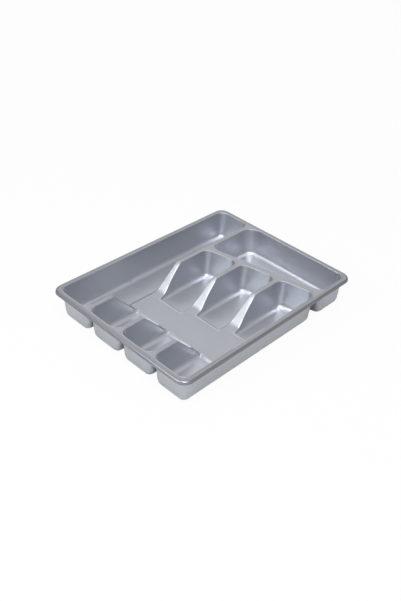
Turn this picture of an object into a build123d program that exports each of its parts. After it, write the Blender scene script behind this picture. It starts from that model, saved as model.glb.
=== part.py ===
"""Cutlery tray: a shallow moulded drawer tray with five compartments.

A full-length compartment runs along the back. Three cutlery compartments lie in rows
beside it, and a slanting cross compartment fills the right end. The dividers between
the rows dip to a low step in the middle, where fingers reach in.

The tray is one moulding of even wall. Each solid here is one region of it, and the
regions meet face to face. Lengths are millimetres, angles degrees. +Z is up, and the
origin is the middle of the base. Places along the tray are counted from its left end,
and places across it from its front.
"""

import math
import os

from build123d import *

# Overall size of the moulding
tray_length = 395.0
tray_width = 302.0
tray_height = 53.0
wall = 2.0
wall_draft = 8.0

# Rim: a flat flange with a turned-down lip that ends in a small bead
rim_width = 10.0
rim_corner = 17.5
rim_round = 3.0
lip_height = 5.5
lip_wall = 1.8
bead_height = 1.4
bead_reach = 0.6

# Compartments, measured at the rim
rows = ["front", "middle", "back"]
divider_width = 8.0
pocket_corner = 13.5
floor_round = 5.5
edge_round = 1.2

# Finger dip through the dividers, with its right side given on the centre line
left_crest = 60.0
left_toe = 105.0
right_toe = 165.0
right_crest = 219.0
crest_round = 4.0
dip_corner = 6.0
step_top = 6.0
step_end = 159.5
step_lap = 12.0
foot_bar_width = 9.0

# Right ends of the rows, and the slanting cross compartment, on the centre line
row_end = 282.0
row_end_skew = 10.5
cross_start = 293.5
cross_skew = 12.0
cross_back_corner = 24.0

# How far a cutting body runs past a face, and how near counts as touching
overrun = 5.0
touch = 0.001

# Rise of an edge, as a share of its length, from which it counts as upright
upright_share = 0.95

# Sizes that follow from the driving ones
draft_slope = math.tan(math.radians(wall_draft))
wall_reach = wall / math.cos(math.radians(wall_draft))
end_slope = math.tan(math.radians(row_end_skew))
cross_slope = math.tan(math.radians(cross_skew))
opening_width = (tray_width - 2 * rim_width - len(rows) * divider_width) / (len(rows) + 1)
pitch = opening_width + divider_width
left_edge = rim_width
right_edge = tray_length - rim_width
above = tray_height + overrun


def at(along, across):
    """Point on the plan for a place along the tray and across it."""
    return (along - tray_length / 2, across - tray_width / 2)


def skewed(start, slope, across):
    """Place along the tray of a slanting line that passes start on the centre line."""
    return start + slope * (tray_width / 2 - across)


def front_edge(index):
    """Front edge, at the rim, of a compartment counted from the front."""
    return rim_width + index * pitch


def back_edge(index):
    """Back edge, at the rim, of a compartment counted from the front."""
    return front_edge(index) + opening_width


def box_outline(start, end, front, back):
    """Plan corners of a straight compartment: front left, front right, back right, back left."""
    return [(start, front), (end, front), (end, back), (start, back)]


def pocket(corners, radii, grow=0.0, base=wall):
    """Drafted body hanging from the rim: the space of a pocket, or its outside when grown."""
    with BuildPart() as body:
        with BuildSketch(Plane.XY.offset(tray_height)) as outline:
            with BuildLine():
                Polyline(*[at(*corner) for corner in corners], close=True)
            make_face()
            for corner, radius in zip(corners, radii):
                if radius:
                    near = Vector(*at(*corner), tray_height)
                    fillet(outline.vertices().sort_by_distance(near)[0], radius)
            if grow:
                offset(amount=grow, kind=Kind.INTERSECTION, mode=Mode.REPLACE)
        extrude(amount=-(tray_height - base), taper=wall_draft)
        bottom = body.faces().sort_by(Axis.Z)[0]
        fillet(bottom.edges(), floor_round + (wall if grow else 0.0))
    return body.part


# Finger dip: each side is a crest, a toe and the slope of its line across the tray
dip_sides = [(left_crest, left_toe, 0.0), (right_crest, right_toe, end_slope)]
dip_back = front_edge(len(rows)) + draft_slope * (tray_height - wall) + floor_round
step_outline = [
    (left_toe + step_lap / 2, 0),
    (skewed(right_toe - step_lap / 2, end_slope, 0), 0),
    (skewed(right_toe - step_lap / 2, end_slope, dip_back), dip_back),
    (left_toe + step_lap / 2, dip_back),
]
front_inside = Plane(
    origin=(0, rim_width - tray_width / 2, tray_height),
    x_dir=(1, 0, 0),
    z_dir=(0, math.cos(math.radians(wall_draft)), math.sin(math.radians(wall_draft))),
)


def dip_run(points, slope, grow=0.0, rounded=None):
    """Body run back from the front along a slanting line, from a profile of places and heights."""
    shift = skewed(0, slope, 0) - tray_length / 2
    with BuildPart() as body:
        with BuildSketch(Plane.XZ.offset(tray_width / 2)) as profile:
            with BuildLine():
                Polyline(*[(along + shift, height) for along, height in points], close=True)
            make_face()
            if rounded:
                near = Vector(rounded + shift, -tray_width / 2, tray_height)
                fillet(profile.vertices().sort_by_distance(near)[0], crest_round)
            if grow:
                offset(amount=grow, kind=Kind.INTERSECTION, mode=Mode.REPLACE)
        extrude(amount=dip_back * math.hypot(1, slope), dir=(-slope, 1, 0))
    return body.part


def dip(grow=0.0):
    """Air of the finger dip with its rounded corners, or its plain outside when grown."""
    with BuildPart() as body:
        for crest, toe, slope in dip_sides:
            lean = (crest - toe) / (tray_height - step_top)
            inward = toe + math.copysign(step_lap, toe - crest)
            side = [
                (inward, above),
                (inward, step_top),
                (toe, step_top),
                (crest + lean * overrun, above),
            ]
            add(dip_run(side, slope, grow))
        with BuildSketch(Plane.XY.offset(step_top - grow)):
            with BuildLine():
                Polyline(*[at(*corner) for corner in step_outline], close=True)
            make_face()
        extrude(amount=above - step_top + grow)
        split(bisect_by=front_inside.offset(-grow), keep=Keep.TOP)
        if not grow:
            front_edges = body.faces().sort_by(Axis.Y)[0].edges().sort_by(Axis.X)
            fillet([front_edges[0], front_edges[-1]], dip_corner)
            foot_edges = body.faces().sort_by(Axis.Z)[0].edges().sort_by(Axis.Y)
            fillet(foot_edges[:-1], floor_round)
            for crest, toe, slope in dip_sides:
                outward = crest + math.copysign(crest_round + overrun, crest - toe)
                halfway = (crest + toe) / 2
                brow = [
                    (outward, above),
                    (outward, tray_height),
                    (crest, tray_height),
                    (halfway, (tray_height + step_top) / 2),
                    (halfway, above),
                ]
                add(dip_run(brow, slope, rounded=crest))
            split(bisect_by=front_inside, keep=Keep.TOP)
    return body.part


dip_space = dip()
dip_outside = dip(wall)


def tub(space, outside):
    """Thin-walled compartment: its outside less its space and the dip, with a rounded brim."""
    with BuildPart() as body:
        add(outside)
        add(space, mode=Mode.SUBTRACT)
        add(dip_space, mode=Mode.SUBTRACT)
        brim = []
        for edge in body.edges():
            point = Vertex(edge @ 0.5)
            on_space = space.shell().distance_to(point) < touch
            on_dip = dip_space.shell().distance_to(point) < touch
            on_top = abs(point.Z - tray_height) < touch
            upright = abs((edge % 0.5).Z) > upright_share
            if on_space and (on_dip or on_top) and not upright:
                brim.append(edge)
        fillet(brim, edge_round)
    return body.part


# Outside of all the compartments taken as one: every outer wall is a stretch of it
even_radii = [pocket_corner] * 4
basin_outline = box_outline(left_edge, right_edge, front_edge(0), back_edge(len(rows)))
basin = pocket(basin_outline, even_radii, wall_reach, 0.0)

# The long compartment along the back
long_outline = box_outline(
    left_edge, right_edge, front_edge(len(rows)), back_edge(len(rows))
)
long_outside = pocket(long_outline, even_radii, wall_reach, 0.0)

# The cross compartment, with one wall aslant and a wide corner at the back
cross_front = front_edge(0)
cross_back = back_edge(len(rows) - 1)
cross_outline = [
    (skewed(cross_start, cross_slope, cross_front), cross_front),
    (right_edge, cross_front),
    (right_edge, cross_back),
    (skewed(cross_start, cross_slope, cross_back), cross_back),
]
cross_radii = [pocket_corner, pocket_corner, cross_back_corner, pocket_corner]
cross_outside = pocket(cross_outline, cross_radii, wall_reach, 0.0)

pieces = {
    "long_compartment": tub(pocket(long_outline, even_radii), long_outside),
    "cross_compartment": tub(pocket(cross_outline, cross_radii), cross_outside),
}
outsides = [long_outside, cross_outside]

# The rows: each one has a recess on either side of the step
step_lean = draft_slope * (tray_height - step_top)
bar_span = []
for index, row in enumerate(rows):
    front, back = front_edge(index), back_edge(index)
    far_front = (skewed(row_end, end_slope, front), front)
    far_back = (skewed(row_end, end_slope, back), back)
    row_outline = [(left_edge, front), far_front, far_back, (left_edge, back)]
    row_outside = pocket(row_outline, even_radii, wall_reach, 0.0)
    step_edge = skewed(step_end, end_slope, (front + back) / 2)
    left_top = left_toe + step_lean
    right_top = step_edge - step_lean
    # The front row's recesses are square where they end against the front wall
    inner_corner = pocket_corner if index else 0.0
    recesses = {
        "left": (
            box_outline(left_edge, left_top, front, back),
            [pocket_corner, inner_corner, pocket_corner, pocket_corner],
            left_toe + wall,
            Keep.BOTTOM,
        ),
        "right": (
            [(right_top, front), far_front, far_back, (right_top, back)],
            [inner_corner, pocket_corner, pocket_corner, pocket_corner],
            step_edge - wall,
            Keep.TOP,
        ),
    }
    for side, (outline, radii, inner_end, keep) in recesses.items():
        end_plane = Plane(origin=(inner_end - tray_length / 2, 0, 0), z_dir=(1, 0, 0))
        with BuildPart() as outside:
            add(row_outside)
            split(bisect_by=end_plane, keep=keep)
        pieces[f"{row}_{side}_compartment"] = tub(pocket(outline, radii), outside.part)
        outsides.append(outside.part)
        if index == 0:
            bar_span.append(inner_end)

# The low step, the slopes that close the hollow dividers, and the front wall beside them
with BuildPart() as finger_step:
    add(basin)
    add(dip_outside, mode=Mode.INTERSECT)
    add(dip_space, mode=Mode.SUBTRACT)
    for outside in outsides:
        add(outside, mode=Mode.SUBTRACT)
pieces["finger_step"] = finger_step.part

# A bar under the step carries the foot of the front wall from recess to recess
with BuildPart() as foot_bar:
    bar_back = rim_width - wall_reach + draft_slope * tray_height + foot_bar_width
    with BuildSketch():
        with BuildLine():
            Polyline(*[at(*corner) for corner in box_outline(*bar_span, 0, bar_back)], close=True)
        make_face()
    extrude(amount=step_top - wall)
    add(basin, mode=Mode.INTERSECT)
pieces["foot_bar"] = foot_bar.part

# The flat tops of the dividers and of the web before the cross compartment
with BuildPart() as divider_tops:
    with BuildSketch(Plane.XY.offset(tray_height - wall)):
        Rectangle(tray_length, tray_width)
    extrude(amount=wall)
    add(basin, mode=Mode.INTERSECT)
    add(dip_outside, mode=Mode.SUBTRACT)
    for outside in outsides:
        add(outside, mode=Mode.SUBTRACT)
tops = divider_tops.solids().sort_by(Axis.X)
for row, top in zip(rows, tops[:-1].sort_by(Axis.Y)):
    pieces[f"{row}_left_divider_top"] = top
pieces["right_divider_tops"] = tops[-1]

# The rim: flange, turned-down lip and bead
with BuildPart() as rim:
    face_size = (tray_length - 2 * bead_reach, tray_width - 2 * bead_reach)
    inside_size = (face_size[0] - 2 * lip_wall, face_size[1] - 2 * lip_wall)
    face_corner = rim_corner - bead_reach
    inside_corner = face_corner - lip_wall
    with BuildSketch(Plane.XY.offset(tray_height - wall)):
        RectangleRounded(*face_size, face_corner)
    extrude(amount=wall)
    with BuildSketch(Plane.XY.offset(tray_height - lip_height)):
        RectangleRounded(*face_size, face_corner)
        RectangleRounded(*inside_size, inside_corner, mode=Mode.SUBTRACT)
    extrude(amount=lip_height - wall)
    fillet(rim.faces().sort_by(Axis.Z)[-1].edges(), rim_round)
    with BuildSketch(Plane.XY.offset(tray_height - lip_height)):
        RectangleRounded(tray_length, tray_width, rim_corner)
        RectangleRounded(*inside_size, inside_corner, mode=Mode.SUBTRACT)
    extrude(amount=bead_height)
    bead_edges = rim.faces(Select.LAST).sort_by(Axis.Z)[0].outer_wire().edges()
    fillet(bead_edges, bead_reach)
    add(basin, mode=Mode.SUBTRACT)
pieces["rim"] = rim.part

# One file for each region
os.makedirs("parts", exist_ok=True)
for name, piece in pieces.items():
    piece.label = name
    export_step(piece, f"parts/{name}.step")
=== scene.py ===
import math

import bmesh
import bpy
from mathutils import Matrix, Vector


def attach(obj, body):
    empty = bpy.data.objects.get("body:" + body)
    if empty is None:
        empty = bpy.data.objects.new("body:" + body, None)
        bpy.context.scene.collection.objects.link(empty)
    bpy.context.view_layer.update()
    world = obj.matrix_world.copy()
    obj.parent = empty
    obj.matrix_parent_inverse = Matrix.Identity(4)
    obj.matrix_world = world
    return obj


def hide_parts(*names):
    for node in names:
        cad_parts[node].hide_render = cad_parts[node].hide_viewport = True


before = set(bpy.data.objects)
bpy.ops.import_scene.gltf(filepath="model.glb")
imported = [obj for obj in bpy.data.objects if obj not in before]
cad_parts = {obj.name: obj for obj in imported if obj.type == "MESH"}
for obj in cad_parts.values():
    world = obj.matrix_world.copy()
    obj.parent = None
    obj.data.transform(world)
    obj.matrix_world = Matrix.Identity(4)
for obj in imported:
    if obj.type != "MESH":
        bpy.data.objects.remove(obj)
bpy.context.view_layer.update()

scene = bpy.context.scene

# The rim: a flat flange with a turned-down lip and a bead round the whole tray. It is one
# with the moulding, of polypropylene filled with fine aluminium flake, and it is the most
# handled part, so hands and the drawer's sides have polished it a little. Its colour is
# drawn much darker than the rest of the moulding's, as painted shade.
silver_grey = (0.560, 0.580, 0.630)


def new_group(name, inputs, outputs):
    """Shader node group with named sockets, each given as a name, a kind and a value."""
    tree = bpy.data.node_groups.new(name, "ShaderNodeTree")
    for label, kind, value in inputs:
        socket = tree.interface.new_socket(label, in_out="INPUT", socket_type=kind)
        socket.default_value = value
    for label, kind in outputs:
        tree.interface.new_socket(label, in_out="OUTPUT", socket_type=kind)
    into = tree.nodes.new("NodeGroupInput")
    out = tree.nodes.new("NodeGroupOutput")
    return tree, into, out


def node(tree, kind, inputs=None, **settings):
    """Node of a kind, with its properties and the values of its inputs."""
    made = tree.nodes.new(kind)
    for key, value in settings.items():
        setattr(made, key, value)
    for key, value in (inputs or {}).items():
        made.inputs[key].default_value = value
    return made


def link(tree, source, target):
    """Link from an output, given as a node and a socket, to an input given the same way."""
    tree.links.new(source[0].outputs[source[1]], target[0].inputs[target[1]])


def shade_colour(tree, pattern, into, strength, out):
    """Lighten and darken a group's colour by a pattern, as strongly as one input says."""
    spread = node(tree, "ShaderNodeMath", {1: 0.5}, operation="SUBTRACT")
    gain = node(tree, "ShaderNodeMath", operation="MULTIPLY")
    level = node(tree, "ShaderNodeMath", {1: 1.0}, operation="ADD")
    tint = node(tree, "ShaderNodeVectorMath", operation="SCALE")
    link(tree, pattern, (spread, 0))
    link(tree, (spread, 0), (gain, 0))
    link(tree, (into, strength), (gain, 1))
    link(tree, (gain, 0), (level, 0))
    link(tree, (into, "Colour"), (tint, 0))
    link(tree, (level, 0), (tint, "Scale"))
    link(tree, (tint, 0), (out, "Colour"))


# Flake: painted glints, each grain of pigment made lighter or darker in colour as if it lay at its
# own small angle and caught the light by itself
flake, flake_in, flake_out = new_group(
    "painted_flake_glint",
    [
        ("Colour", "NodeSocketColor", (*silver_grey, 1.0)),
        ("Scale", "NodeSocketFloat", 2200.0),
        ("Sparkle", "NodeSocketFloat", 0.14),
    ],
    [("Colour", "NodeSocketColor")],
)
flake_place = node(flake, "ShaderNodeTexCoord")
flake_cells = node(flake, "ShaderNodeTexVoronoi", voronoi_dimensions="3D", feature="F1")
flake_grey = node(flake, "ShaderNodeSeparateColor")
link(flake, (flake_place, "Object"), (flake_cells, "Vector"))
link(flake, (flake_in, "Scale"), (flake_cells, "Scale"))
link(flake, (flake_cells, "Color"), (flake_grey, 0))
shade_colour(flake, (flake_grey, 0), flake_in, "Sparkle", flake_out)

# Flow: the melt ran along the tray from its gate, which leaves faint long cloudy bands
flow, flow_in, flow_out = new_group(
    "melt_flow",
    [
        ("Colour", "NodeSocketColor", (*silver_grey, 1.0)),
        ("Depth", "NodeSocketFloat", 0.05),
    ],
    [("Colour", "NodeSocketColor"), ("Mask", "NodeSocketFloat")],
)
flow_place = node(flow, "ShaderNodeTexCoord")
flow_stretch = node(flow, "ShaderNodeMapping", {"Scale": (9.0, 26.0, 18.0)})
flow_cloud = node(
    flow,
    "ShaderNodeTexNoise",
    {"Scale": 1.0, "Detail": 4.0, "Roughness": 0.55, "Distortion": 0.4},
)
link(flow, (flow_place, "Object"), (flow_stretch, "Vector"))
link(flow, (flow_stretch, 0), (flow_cloud, "Vector"))
link(flow, (flow_cloud, 0), (flow_out, "Mask"))
shade_colour(flow, (flow_cloud, 0), flow_in, "Depth", flow_out)

# Scuffs: cutlery and drawer grit leave short fine scratches that lie mostly along the tray
scuff, scuff_in, scuff_out = new_group(
    "fine_scuffs",
    [("Amount", "NodeSocketFloat", 0.5)],
    [("Mask", "NodeSocketFloat")],
)
scuff_place = node(scuff, "ShaderNodeTexCoord")
scuff_stretch = node(
    scuff,
    "ShaderNodeMapping",
    {"Scale": (60.0, 900.0, 500.0), "Rotation": (0.0, 0.0, 0.35)},
)
scuff_lines = node(
    scuff, "ShaderNodeTexNoise", {"Scale": 1.0, "Detail": 2.0, "Roughness": 0.5}
)
scuff_areas = node(scuff, "ShaderNodeTexNoise", {"Scale": 22.0, "Detail": 1.0})
scuff_sharp = node(scuff, "ShaderNodeMapRange", {"From Min": 0.60, "From Max": 0.72})
scuff_zone = node(scuff, "ShaderNodeMapRange", {"From Min": 0.42, "From Max": 0.66})
scuff_both = node(scuff, "ShaderNodeMath", operation="MULTIPLY")
scuff_gain = node(scuff, "ShaderNodeMath", operation="MULTIPLY")
link(scuff, (scuff_place, "Object"), (scuff_stretch, "Vector"))
link(scuff, (scuff_stretch, 0), (scuff_lines, "Vector"))
link(scuff, (scuff_place, "Object"), (scuff_areas, "Vector"))
link(scuff, (scuff_lines, 0), (scuff_sharp, "Value"))
link(scuff, (scuff_areas, 0), (scuff_zone, "Value"))
link(scuff, (scuff_sharp, 0), (scuff_both, 0))
link(scuff, (scuff_zone, 0), (scuff_both, 1))
link(scuff, (scuff_both, 0), (scuff_gain, 0))
link(scuff, (scuff_in, "Amount"), (scuff_gain, 1))
link(scuff, (scuff_gain, 0), (scuff_out, "Mask"))

# Grain: the fine spark-eroded texture of the mould, cut through by the scuffs
grain, grain_in, grain_out = new_group(
    "mould_grain",
    [
        ("Scale", "NodeSocketFloat", 950.0),
        ("Depth", "NodeSocketFloat", 0.00002),
        ("Scuffs", "NodeSocketFloat", 0.0),
    ],
    [("Normal", "NodeSocketVector")],
)
grain_place = node(grain, "ShaderNodeTexCoord")
grain_pits = node(grain, "ShaderNodeTexNoise", {"Detail": 3.0, "Roughness": 0.6})
grain_cut = node(grain, "ShaderNodeMath", operation="SUBTRACT")
grain_bump = node(grain, "ShaderNodeBump", {"Strength": 1.0})
link(grain, (grain_place, "Object"), (grain_pits, "Vector"))
link(grain, (grain_in, "Scale"), (grain_pits, "Scale"))
link(grain, (grain_pits, 0), (grain_cut, 0))
link(grain, (grain_in, "Scuffs"), (grain_cut, 1))
link(grain, (grain_cut, 0), (grain_bump, "Height"))
link(grain, (grain_in, "Depth"), (grain_bump, "Distance"))
link(grain, (grain_bump, 0), (grain_out, "Normal"))

gloss_roughness = 0.18
polish_spread = 0.05
scuff_roughness = 0.12


def plastic_skin(name, metal, rough, coat, scuffs, tint):
    """Material of one region: its metal look, roughness, gloss coat, wear and painted-shade tint."""
    material = bpy.data.materials.new(name)
    material.use_nodes = True
    tree = material.node_tree
    shader = tree.nodes["Principled BSDF"]
    shader.inputs["Metallic"].default_value = metal
    shader.inputs["Coat Weight"].default_value = coat
    shader.inputs["Coat Roughness"].default_value = gloss_roughness
    bands = node(tree, "ShaderNodeGroup", node_tree=flow)
    # The tint darkens the plastic's colour region by region, as painted shade.
    bands.inputs["Colour"].default_value = (*(tint * part for part in silver_grey), 1.0)
    # Painted flake glints: each grain's colour is raised or lowered as if it caught the light.
    flake_glints = node(tree, "ShaderNodeGroup", node_tree=flake)
    marks = node(tree, "ShaderNodeGroup", node_tree=scuff)
    marks.inputs["Amount"].default_value = scuffs
    pits = node(tree, "ShaderNodeGroup", node_tree=grain)
    polish = node(tree, "ShaderNodeMapRange")
    polish.inputs["To Min"].default_value = rough - polish_spread
    polish.inputs["To Max"].default_value = rough + polish_spread
    worn = node(tree, "ShaderNodeMath", {1: scuff_roughness}, operation="MULTIPLY_ADD")
    link(tree, (bands, "Colour"), (flake_glints, "Colour"))
    link(tree, (flake_glints, "Colour"), (shader, "Base Color"))
    link(tree, (bands, "Mask"), (polish, "Value"))
    link(tree, (marks, "Mask"), (worn, 0))
    link(tree, (polish, 0), (worn, 2))
    link(tree, (worn, 0), (shader, "Roughness"))
    link(tree, (marks, "Mask"), (pits, "Scuffs"))
    link(tree, (pits, "Normal"), (shader, "Normal"))
    return material


def dress(names, material):
    """Give CAD nodes their region's material."""
    for name in names:
        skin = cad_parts[name].data.materials
        skin.clear()
        skin.append(material)


# The rim's low tint darkens its colour as painted shade.
rim_skin = plastic_skin("rim_skin", metal=0.88, rough=0.31, coat=0.30, scuffs=0.5, tint=0.58)
dress(["rim"], rim_skin)

# The flat tops of the dividers: narrow bridges between the compartments, of the same
# plastic and moulded in one with the walls below them. They are a little duller than the rim,
# and their tint darkens their colour as painted shade.
top_skin = plastic_skin("divider_top_skin", metal=0.86, rough=0.38, coat=0.20, scuffs=0.6, tint=0.74)
dress(
    [
        "right_divider_tops",
        "front_left_divider_top",
        "middle_left_divider_top",
        "back_left_divider_top",
    ],
    top_skin,
)

# The long and the cross compartment: two deep drafted tubs hung from the rim, of the same
# plastic, with broad rounds along their floors. Each is its CAD node's mesh, cut at levels
# and moved to walls that are steeper than the solid's, as the real mould draws them.
tub_skin = plastic_skin("tub_skin", metal=0.87, rough=0.42, coat=0.15, scuffs=0.7, tint=0.97)

# Lengths are millimetres here, counted from the left end, the front and the base
mm = 0.001
plan_length, plan_width, plan_height = 395.0, 302.0, 53.0
wall, rim_flat, divider, corner = 2.0, 10.0, 8.0, 13.5
solid_draft, solid_round = math.tan(math.radians(8.0)), 5.5
real_draft, real_round = math.tan(math.radians(3.5)), 10.47
opening = (plan_width - 2 * rim_flat - 3 * divider) / 4
pitch = opening + divider
step_level = 6.0


def skewed(start, slope, across):
    """Place along the tray of a slanting line that passes start on the centre line."""
    return start + slope * (plan_width / 2 - across)


class Tub:
    """Opening of one compartment at the rim: four corners counted round, with their radii."""

    def __init__(self, corners, radii, inner_end=None):
        self.corners = [Vector(point) for point in corners]
        self.radii = radii
        self.inner_end = inner_end
        middle = sum(self.corners, Vector((0, 0))) / 4
        self.sides = []
        for index, start in enumerate(self.corners):
            along = (self.corners[(index + 1) % 4] - start).normalized()
            inward = Vector((-along.y, along.x))
            if (middle - start).dot(inward) < 0:
                inward = -inward
            self.sides.append((start, inward))

    def inset(self, place):
        """Distance of a place inside the opening's edge, and the outward direction there."""
        depths = [(place - start).dot(inward) for start, inward in self.sides]
        nearest = min(range(4), key=lambda index: depths[index])
        for index, radius in enumerate(self.radii):
            if not radius:
                continue
            before, after = self.sides[index - 1], self.sides[index]
            turn = before[1].x * after[1].y - before[1].y * after[1].x
            gap = radius - before[1].dot(self.corners[index] - before[0])
            gap_after = radius - after[1].dot(self.corners[index] - after[0])
            centre = self.corners[index] + Vector(
                (
                    (gap * after[1].y - gap_after * before[1].y) / turn,
                    (gap_after * before[1].x - gap * after[1].x) / turn,
                )
            )
            away = place - centre
            share = -(away.x * after[1].y - away.y * after[1].x) / turn
            share_after = -(before[1].x * away.y - before[1].y * away.x) / turn
            if share > 0 and share_after > 0 and away.length > 0:
                return radius - away.length, away.normalized()
        return depths[nearest], -self.sides[nearest][1]


def box_corners(start, end, front, back):
    """Corners of a straight opening."""
    return [(start, front), (end, front), (end, back), (start, back)]


long_front = rim_flat + 3 * pitch
cross_slope, cross_start, cross_far_corner = math.tan(math.radians(12.0)), 293.5, 24.0
cross_back = rim_flat + 2 * pitch + opening
right_edge = plan_length - rim_flat
tubs = {
    "long": Tub(
        box_corners(rim_flat, right_edge, long_front, long_front + opening), [corner] * 4
    ),
    "cross": Tub(
        [
            (skewed(cross_start, cross_slope, rim_flat), rim_flat),
            (right_edge, rim_flat),
            (right_edge, cross_back),
            (skewed(cross_start, cross_slope, cross_back), cross_back),
        ],
        [corner, corner, cross_far_corner, corner],
    ),
}

# The right slopes, which end in the long compartment's wall too: a shallow foot that sweeps
# up and flares into a steep flight to the crest. Each point is a place on the centre line
# and a height, and the solid's own slope runs straight from its toe to the crest.
end_slope = math.tan(math.radians(10.5))
toe, crest = (165.0, 6.0), (219.0, 53.0)
foot_toe, foot_start, foot, foot_end = (163.0, 6.0), (173.98, 8.48), (178.5, 9.5), (181.65, 12.89)
toe_start, toe_end = 162.94, 166.56
flare_start, flare_end = 178.0, 206.0


def line_height(along, start, end):
    """Height of a straight line at a place along the tray."""
    return start[1] + (along - start[0]) * (end[1] - start[1]) / (end[0] - start[0])


def solid_slope(along):
    """Height of the CAD solid's slope at a place on the centre line."""
    if along <= toe_start:
        return step_level
    if along < toe_end:
        rise = solid_round - math.sqrt(solid_round**2 - (along - toe_start) ** 2)
        return step_level + rise
    return min(plan_height, line_height(along, toe, crest))


def real_slope(along):
    """Height of the real slope at a place on the centre line."""
    if along <= foot_start[0]:
        return max(step_level, line_height(along, foot_toe, foot_start))
    if along < foot_end[0]:
        square = foot_start[0] - 2 * foot[0] + foot_end[0]
        linear = 2 * (foot[0] - foot_start[0])
        rest = foot_start[0] - along
        share = (math.sqrt(linear**2 - 4 * square * rest) - linear) / (2 * square)
        left = (1 - share) ** 2 * foot_start[1] + 2 * share * (1 - share) * foot[1]
        return left + share**2 * foot_end[1]
    return min(plan_height, line_height(along, foot_end, crest))


level_slack, surface_slack, skin_slack, corner_slack = 0.01, 0.4, 0.5, 0.3
floor_fade = 14.0


def lowered(height, before, after):
    """Height of a point under a right slope once the slope is hollowed."""
    solid_line = solid_slope(before)
    if height <= wall or height > solid_line + surface_slack or before >= crest[0]:
        return height
    return wall + (height - wall) * (real_slope(after) - wall) / (solid_line - wall)


def inset_profile(height, draft, round_radius, base, reach):
    """How far a drafted wall with a floor round stands inside its opening at a height."""
    lean = math.atan(draft)
    plain = draft * (plan_height - height) - reach / math.cos(lean)
    floor_run = round_radius * math.tan((math.pi / 2 - lean) / 2)
    foot_inset = draft * (plan_height - base) - reach / math.cos(lean) + floor_run
    drop = base + round_radius - height
    if drop <= round_radius * math.sin(lean):
        return plain
    return foot_inset - math.sqrt(max(0.0, round_radius**2 - min(drop, round_radius) ** 2))


def flare(place, tub):
    """Share of a wall's move that is made beside a right slope, none of it at the foot."""
    if not tub.inner_end or tub.inner_end.x > 0 or place.y <= rim_flat + opening / 2:
        return 1.0
    along = place.x - skewed(0.0, end_slope, place.y)
    share = min(1.0, max(0.0, (along - flare_start) / (flare_end - flare_start)))
    return share**2 * (3.0 - 2.0 * share)


def wall_shift(place, height, new_height, tub):
    """Miss and step in plan of a point on a tub's wall or floor round, or nothing."""
    depth, outward = tub.inset(place)
    lines = []
    for base, reach in ((wall, 0.0), (0.0, wall)):
        if height > base - level_slack:
            now = inset_profile(height, solid_draft, solid_round + reach, base, reach)
            new = inset_profile(new_height, real_draft, real_round + reach, base, reach)
            step = flare(place, tub) * (new - now) * (1 - max(0.0, -outward.x) ** 2)
            if tub.inner_end and height <= step_level + level_slack:
                at_step = inset_profile(step_level, real_draft, real_round + reach, base, reach)
                at_step -= inset_profile(step_level, solid_draft, solid_round + reach, base, reach)
                step -= at_step * max(0.0, outward.dot(tub.inner_end)) ** 2
            lines.append((now, step, base))
    inner, outer = lines[0], lines[-1]
    if depth > inner[0]:
        flat = height < inner[2] + surface_slack
        if not flat and depth > inner[0] + skin_slack:
            return None
        fade = max(0.0, 1.0 - (depth - inner[0]) / floor_fade) if flat else 1.0
        return depth - inner[0], -outward * inner[1] * fade
    if depth < outer[0] - skin_slack:
        return None
    share = (depth - outer[0]) / (inner[0] - outer[0]) if inner[0] > outer[0] else 1.0
    share = min(1.0, max(0.0, share))
    return max(0.0, outer[0] - depth), -outward * (outer[1] + (inner[1] - outer[1]) * share)


def squared(place, height, tub):
    """Place in plan once a tub's rounded inner corners, below the step, are made square."""
    if height > step_level + level_slack or height < wall - level_slack:
        return place
    for index, side in ((1, 1.0), (2, -1.0)):
        radius = tub.radii[index]
        if not radius:
            continue
        centre = tub.corners[index] + Vector((-radius, side * radius))
        along, across = place.x - centre.x, -side * (place.y - centre.y)
        now = inset_profile(height, solid_draft, solid_round, wall, 0.0)
        length = math.hypot(along, across)
        if along > 0 and across > 0 and radius - length > now - corner_slack:
            grown = length / max(along, across)
            return centre + Vector((along * grown, -side * across * grown))
    return place


cut_levels = [0.25, 0.7, 1.4, 2.2, 2.6, 3.2, 4.0, 5.0, 6.5, 7.2, 8.0, 8.8, 9.6, 10.6, 11.6]
cut_levels += [12.5, 14.0, 16.0, 18.0, 20.0, 22.0, 26.0, 31.0, 37.0, 43.0, 48.0]
cut_lengths = [177.0, 181.65, 186.0, 191.0, 196.0, 201.0, 206.0]
merge_gap = 0.00001
settle_rounds = 3
crease_angle = math.radians(32)


def cut_through(form, place, normal):
    """Cut every face of a mesh where a plane crosses it."""
    everything = form.verts[:] + form.edges[:] + form.faces[:]
    bmesh.ops.bisect_plane(
        form, geom=everything, dist=merge_gap, plane_co=place, plane_no=normal
    )


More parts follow.
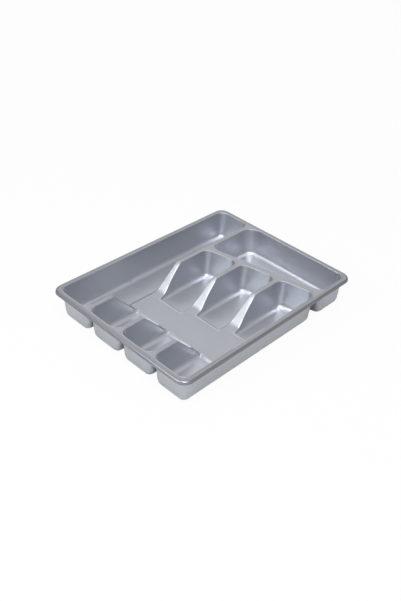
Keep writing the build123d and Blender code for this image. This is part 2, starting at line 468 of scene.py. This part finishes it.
def reformed(name, tub_names, skins):
    """Piece that replaces a CAD node: its mesh, cut at levels and moved to the real form."""
    form = bmesh.new()
    form.from_mesh(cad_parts[name].data)
    bmesh.ops.remove_doubles(form, verts=form.verts, dist=merge_gap)
    for level in cut_levels:
        cut_through(form, (0, 0, level * mm), (0, 0, 1))
    for length in cut_lengths:
        cut_through(form, ((length - plan_length / 2) * mm, 0, 0), (1, end_slope, 0))
    bmesh.ops.triangulate(form, faces=form.faces[:])
    near = [tubs[key] for key in tub_names]
    for vertex in form.verts:
        place = Vector((vertex.co.x / mm + plan_length / 2, vertex.co.y / mm + plan_width / 2))
        height = vertex.co.z / mm
        before = place.x - skewed(0.0, end_slope, place.y)
        after = before
        for _ in range(settle_rounds):
            new_height = lowered(height, before, after)
            found = [wall_shift(place, height, new_height, tub) for tub in near]
            found = [entry for entry in found if entry]
            step = Vector((0, 0))
            if found:
                step = min(found, key=lambda entry: entry[0])[1].copy()
            moved = place + step
            after = moved.x - skewed(0.0, end_slope, moved.y)
        if name.endswith("left_compartment"):
            step += squared(place, height, near[0]) - place
        vertex.co.x += step.x * mm
        vertex.co.y += step.y * mm
        vertex.co.z += (new_height - height) * mm
    made = bpy.data.meshes.new(f"{name}_form")
    form.to_mesh(made)
    form.free()
    made.shade_smooth()
    made.set_sharp_from_angle(angle=crease_angle)
    for skin in skins:
        made.materials.append(skin)
    piece = bpy.data.objects.new(f"{name}_form", made)
    scene.collection.objects.link(piece)
    even = piece.modifiers.new("even_normals", "WEIGHTED_NORMAL")
    even.keep_sharp = True
    even.weight = 100
    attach(piece, "root")
    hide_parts(name)
    return piece


reformed("long_compartment", ["long"], [tub_skin])
reformed("cross_compartment", ["cross"], [tub_skin])

# The cutlery compartments: three rows of drafted tubs, each in two lengths, left and right
# of the step. They are moulded in one with the rest and scuffed along their floors.
left_toe, right_toe, row_end = 105.0, 159.5, 282.0
solid_lean = solid_draft * (plan_height - step_level)
row_skin = plastic_skin("row_skin", metal=0.86, rough=0.41, coat=0.15, scuffs=0.9, tint=0.96)
for index, row in enumerate(["front", "middle", "back"]):
    front = rim_flat + index * pitch
    back = front + opening
    inner = corner if index else 0.0
    tubs[f"{row}_left"] = Tub(
        box_corners(rim_flat, left_toe + solid_lean, front, back),
        [corner, inner, corner, corner],
        Vector((1, 0)),
    )
    right_top = skewed(right_toe, end_slope, (front + back) / 2) - solid_lean
    tubs[f"{row}_right"] = Tub(
        [
            (right_top, front),
            (skewed(row_end, end_slope, front), front),
            (skewed(row_end, end_slope, back), back),
            (right_top, back),
        ],
        [inner, corner, corner, corner],
        Vector((-1, 0)),
    )
    for side in ["left", "right"]:
        reformed(f"{row}_{side}_compartment", [f"{row}_{side}"], [row_skin])

# The finger step: the low flat across the rows, moulded with the slopes that close the
# hollow dividers, the front wall beside it and the bar below, which carries that wall's
# foot. It is the same plastic, and its level top is a little duller than its walls and
# darker in colour, as painted shade.
tubs["basin"] = Tub(
    box_corners(rim_flat, right_edge, rim_flat, plan_width - rim_flat), [corner] * 4
)
tubs["dip_front"] = Tub(box_corners(0.0, plan_length, rim_flat, plan_width), [0.0] * 4)
step_skin = plastic_skin("step_skin", metal=0.84, rough=0.50, coat=0.10, scuffs=0.8, tint=0.84)
step_tubs = ["long", "front_left", "middle_left", "back_left"]
step_tubs += ["front_right", "middle_right", "back_right", "basin", "dip_front"]
step_piece = reformed("finger_step", step_tubs, [step_skin, row_skin])
# Steep faces take the walls' skin and the level top keeps the darker step skin: painted shade on the
# top.
steepest_top = 0.3
for face in step_piece.data.polygons:
    if face.normal.z < steepest_top:
        face.material_index = 1
reformed("foot_bar", ["basin"], [row_skin])

# The stage: a plain pale floor that keeps the tray's shadow
floor_size, floor_grey, floor_white_share = 6.0, 0.68, 0.95
bpy.ops.mesh.primitive_plane_add(size=floor_size, location=(0, 0, 0))
floor = bpy.context.object
floor.name = "floor"
floor_paint = bpy.data.materials.new("floor_paint")
floor_paint.use_nodes = True
floor_tree = floor_paint.node_tree
floor_tree.nodes.clear()
floor_out = node(floor_tree, "ShaderNodeOutputMaterial")
floor_mix = node(floor_tree, "ShaderNodeMixShader")
floor_matt = node(floor_tree, "ShaderNodeBsdfDiffuse", {"Color": (*[floor_grey] * 3, 1.0)})
floor_glow = node(
    floor_tree, "ShaderNodeEmission", {"Color": (1.0, 1.0, 1.0, 1.0), "Strength": 1.0}
)
floor_rays = node(floor_tree, "ShaderNodeLightPath")
floor_share = node(floor_tree, "ShaderNodeMath", {1: floor_white_share}, operation="MULTIPLY")
link(floor_tree, (floor_rays, "Is Camera Ray"), (floor_share, 0))
link(floor_tree, (floor_share, 0), (floor_mix, 0))
link(floor_tree, (floor_matt, 0), (floor_mix, 1))
link(floor_tree, (floor_glow, 0), (floor_mix, 2))
link(floor_tree, (floor_mix, 0), (floor_out, 0))
floor.data.materials.append(floor_paint)

# The light: a white backdrop, a room that is dim at the tray's level and lighter overhead,
# and three broad soft lamps, above the left end, above the camera and behind the tray
room_low, room_high, room_high_at = 0.08, 0.50, 0.75
world = bpy.data.worlds.new("room")
scene.world = world
world.use_nodes = True
world_tree = world.node_tree
backdrop = world_tree.nodes["Background"]
backdrop.inputs["Color"].default_value = (1.0, 1.0, 1.0, 1.0)
world_rays = node(world_tree, "ShaderNodeLightPath")
world_seen = node(world_tree, "ShaderNodeMath", operation="MAXIMUM")
world_level = node(world_tree, "ShaderNodeMapRange", {"To Max": 1.0})
world_place = node(world_tree, "ShaderNodeTexCoord")
world_height = node(world_tree, "ShaderNodeSeparateXYZ")
world_rise = node(
    world_tree,
    "ShaderNodeMapRange",
    {"From Min": 0.0, "From Max": room_high_at, "To Min": room_low, "To Max": room_high},
    interpolation_type="SMOOTHSTEP",
)
link(world_tree, (world_place, "Generated"), (world_height, 0))
link(world_tree, (world_height, "Z"), (world_rise, "Value"))
link(world_tree, (world_rise, 0), (world_level, "To Min"))
link(world_tree, (world_rays, "Is Camera Ray"), (world_seen, 0))
link(world_tree, (world_rays, "Is Transmission Ray"), (world_seen, 1))
link(world_tree, (world_seen, 0), (world_level, "Value"))
link(world_tree, (world_level, 0), (backdrop, "Strength"))

lamp_aim = Vector((0, 0, 0.03))


def soft_lamp(name, place, size, power):
    """Square area lamp at a place, turned to the middle of the tray."""
    lamp = bpy.data.lights.new(name, "AREA")
    lamp.shape = "SQUARE"
    lamp.size = size
    lamp.energy = power
    holder = bpy.data.objects.new(name, lamp)
    holder.location = place
    holder.rotation_mode = "QUATERNION"
    holder.rotation_quaternion = (lamp_aim - Vector(place)).to_track_quat("-Z", "Y")
    scene.collection.objects.link(holder)


soft_lamp("side_lamp", (-1.75, 0.60, 1.45), size=1.3, power=20.0)
soft_lamp("top_lamp", (-0.60, -0.65, 1.60), size=0.9, power=22.0)
soft_lamp("back_lamp", (1.50, 1.38, 1.55), size=2.0, power=7.0)

# The camera: the photograph's own viewpoint, found from the tray's rim and feet
camera_place = Vector((-0.7330, -0.6618, 0.7542))
camera_right = Vector((0.7024, -0.7100, 0.0513))
camera_forward = Vector((0.5905, 0.5409, -0.5990))
focal_pixels = 743.5
picture_height = 601
camera_data = bpy.data.cameras.new("camera")
camera_data.sensor_width = 36.0
camera_data.lens = camera_data.sensor_width * focal_pixels / picture_height
camera = bpy.data.objects.new("camera", camera_data)
camera_back = -camera_forward.normalized()
camera_up = camera_back.cross(camera_right).normalized()
camera_side = camera_up.cross(camera_back).normalized()
camera_turn = Matrix((camera_side, camera_up, camera_back)).transposed()
camera.rotation_mode = "QUATERNION"
camera.rotation_quaternion = camera_turn.to_quaternion()
camera.location = camera_place
scene.collection.objects.link(camera)
scene.camera = camera
scene.view_settings.view_transform = "Standard"
